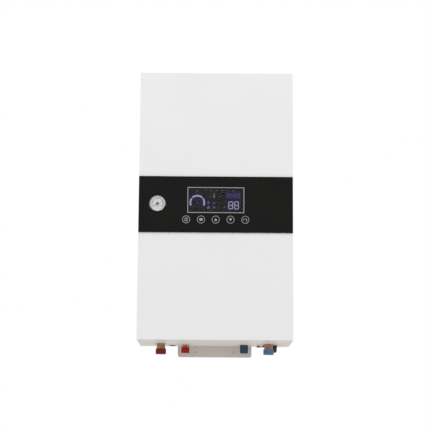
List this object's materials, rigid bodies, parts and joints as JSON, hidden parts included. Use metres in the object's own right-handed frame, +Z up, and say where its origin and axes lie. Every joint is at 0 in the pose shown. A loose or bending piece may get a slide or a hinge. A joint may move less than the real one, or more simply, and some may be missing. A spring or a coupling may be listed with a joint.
{
  "type": "electric combi boiler",
  "caption": "Wall-hung electric boiler in a flat white casing with a black glass control band, round pressure gauge, display, touch keys and capped pipe threads below.",
  "frame": {"origin": "Midway between the two upper wall bolts, on the wall plane.", "axes": "+X runs to the right of someone facing the boiler, +Y runs into the wall and +Z runs up; the front faces -Y."},
  "size_m": [0.45, 0.2515, 0.823],
  "materials": {
    "case_white": "white powder coat, fine and satin",
    "zinc_steel": "zinc-plated sheet steel",
    "black_glass": "toughened glass, printed black on the back",
    "marking_grey": "light grey screen print",
    "tape_black": "foam mounting tape",
    "housing_black": "moulded black plastic",
    "board_green": "circuit board",
    "lcd": "liquid crystal module",
    "gauge_silver": "bright bezel and cup",
    "clear_lens": "clear lens",
    "dial_white": "white printed dial",
    "needle_black": "black lacquer",
    "copper": "drawn copper with soldered joints",
    "tank_steel": "stainless steel",
    "jacket_foam": "closed-cell foam",
    "brass": "machined brass",
    "button_red": "red moulding",
    "vessel_red": "red enamel",
    "pump_iron": "cast iron with a dark coat",
    "motor_black": "black enamel",
    "rotor_steel": "steel",
    "cap_dark_red": "dark red polyethylene",
    "cap_red": "red polyethylene",
    "cap_navy": "dark blue polyethylene",
    "cap_blue": "blue polyethylene",
    "gland_black": "black polyamide",
    "grommet_black": "rubber",
    "module_grey": "light grey moulding",
    "module_dark": "dark moulding",
    "plastic_white": "white moulding",
    "cable_black": "cable sheath"
  },
  "bodies": {
    "chassis": {"back_plate": "zinc_steel", "side_panels": "case_white", "top_panel": "case_white", "base_panel": "case_white", "wall_bracket": "zinc_steel", "lower_bracket": "case_white", "case_fasteners": "zinc_steel", "control_housing": "housing_black", "control_board": "board_green", "lcd_module": "lcd", "gauge_case": "gauge_silver", "gauge_lens": "clear_lens", "gauge_dial": "dial_white", "gauge_capillary": "copper", "heating_tank": "tank_steel", "tank_jacket": "jacket_foam", "heating_elements": "brass", "limit_thermostat": "module_dark", "air_vent": "brass", "expansion_vessel": "vessel_red", "vessel_pipe": "copper", "pump_volute": "pump_iron", "pump_motor": "motor_black", "equipment_brackets": "zinc_steel", "diverter_body": "brass", "diverter_actuator": "module_dark", "heat_exchanger": "tank_steel", "relief_valve": "brass", "flow_sensor": "module_dark", "heating_pipes": "copper", "exchanger_pipe": "copper", "water_pipes": "copper", "pipe_nipples": "brass", "cable_gland": "gland_black", "drain_grommet": "grommet_black", "fill_tap": "brass", "electrical_panel": "zinc_steel", "breaker": "plastic_white", "contactor": "module_dark", "terminal_block": "module_grey", "power_board": "board_green", "wiring_harness": "cable_black"},
    "front_cover": {"front_cover": "case_white", "cover_screws": "case_white", "control_glass": "black_glass", "glass_tape": "tape_black", "glass_markings": "marking_grey"},
    "gauge_needle": {"gauge_needle": "needle_black"},
    "reset_button": {"reset_button": "button_red"},
    "pump_rotor": {"pump_rotor": "rotor_steel"},
    "diverter_plug": {"diverter_plug": "rotor_steel"},
    "relief_knob": {"relief_knob": "button_red"},
    "flow_turbine": {"flow_turbine": "plastic_white"},
    "heating_flow_cap": {"heating_flow_cap": "cap_dark_red"},
    "hot_water_cap": {"hot_water_cap": "cap_red"},
    "cold_water_cap": {"cold_water_cap": "cap_navy"},
    "heating_return_cap": {"heating_return_cap": "cap_blue"},
    "fill_tap_lever": {"fill_tap_lever": "brass"},
    "breaker_toggle": {"breaker_toggle": "module_dark"},
    "contactor_plunger": {"contactor_plunger": "plastic_white"}
  },
  "joints": [
    {"name": "cover_lift_off", "type": "slide", "parent": "chassis", "child": "front_cover", "axis": [0, -1, 0], "range_m": [0, 0.3]},
    {"name": "gauge_needle_turn", "type": "hinge", "parent": "chassis", "child": "gauge_needle", "pos_m": [-0.17, -0.2476, -0.304], "axis": [0, 1, 0], "range_deg": [0, 248], "stiffness_Nm_per_rad": 0.0005},
    {"name": "reset_button_press", "type": "slide", "parent": "chassis", "child": "reset_button", "axis": [0, 1, 0], "range_m": [0, 0.002], "stiffness_N_per_m": 300},
    {"name": "pump_spin", "type": "hinge", "parent": "chassis", "child": "pump_rotor", "pos_m": [-0.02, -0.095, -0.51], "axis": [0, 1, 0], "continuous": true},
    {"name": "diverter_turn", "type": "hinge", "parent": "chassis", "child": "diverter_plug", "pos_m": [-0.16, -0.095, -0.605], "axis": [0, 1, 0], "range_deg": [0, 90]},
    {"name": "relief_knob_turn", "type": "hinge", "parent": "chassis", "child": "relief_knob", "pos_m": [-0.127, -0.033, -0.501], "axis": [0, 0, 1], "range_deg": [0, 90], "stiffness_Nm_per_rad": 0.02},
    {"name": "flow_turbine_spin", "type": "hinge", "parent": "chassis", "child": "flow_turbine", "pos_m": [0.088, -0.055, -0.6438], "axis": [0, 0, 1], "continuous": true},
    {"name": "heating_flow_cap_pull", "type": "slide", "parent": "chassis", "child": "heating_flow_cap", "axis": [0, 0, -1], "range_m": [0, 0.08]},
    {"name": "hot_water_cap_pull", "type": "slide", "parent": "chassis", "child": "hot_water_cap", "axis": [0, 0, -1], "range_m": [0, 0.08]},
    {"name": "cold_water_cap_pull", "type": "slide", "parent": "chassis", "child": "cold_water_cap", "axis": [0, 0, -1], "range_m": [0, 0.08]},
    {"name": "heating_return_cap_pull", "type": "slide", "parent": "chassis", "child": "heating_return_cap", "axis": [0, 0, -1], "range_m": [0, 0.08]},
    {"name": "fill_tap_turn", "type": "hinge", "parent": "chassis", "child": "fill_tap_lever", "pos_m": [0.147, -0.055, -0.7], "axis": [0, 0, 1], "range_deg": [0, 90]},
    {"name": "breaker_switch", "type": "hinge", "parent": "chassis", "child": "breaker_toggle", "pos_m": [-0.038, -0.1862, 0.014], "axis": [1, 0, 0], "range_deg": [0, 60]},
    {"name": "contactor_pull_in", "type": "slide", "parent": "chassis", "child": "contactor_plunger", "axis": [0, 1, 0], "range_m": [0, 0.004], "stiffness_N_per_m": 400}
  ]
}
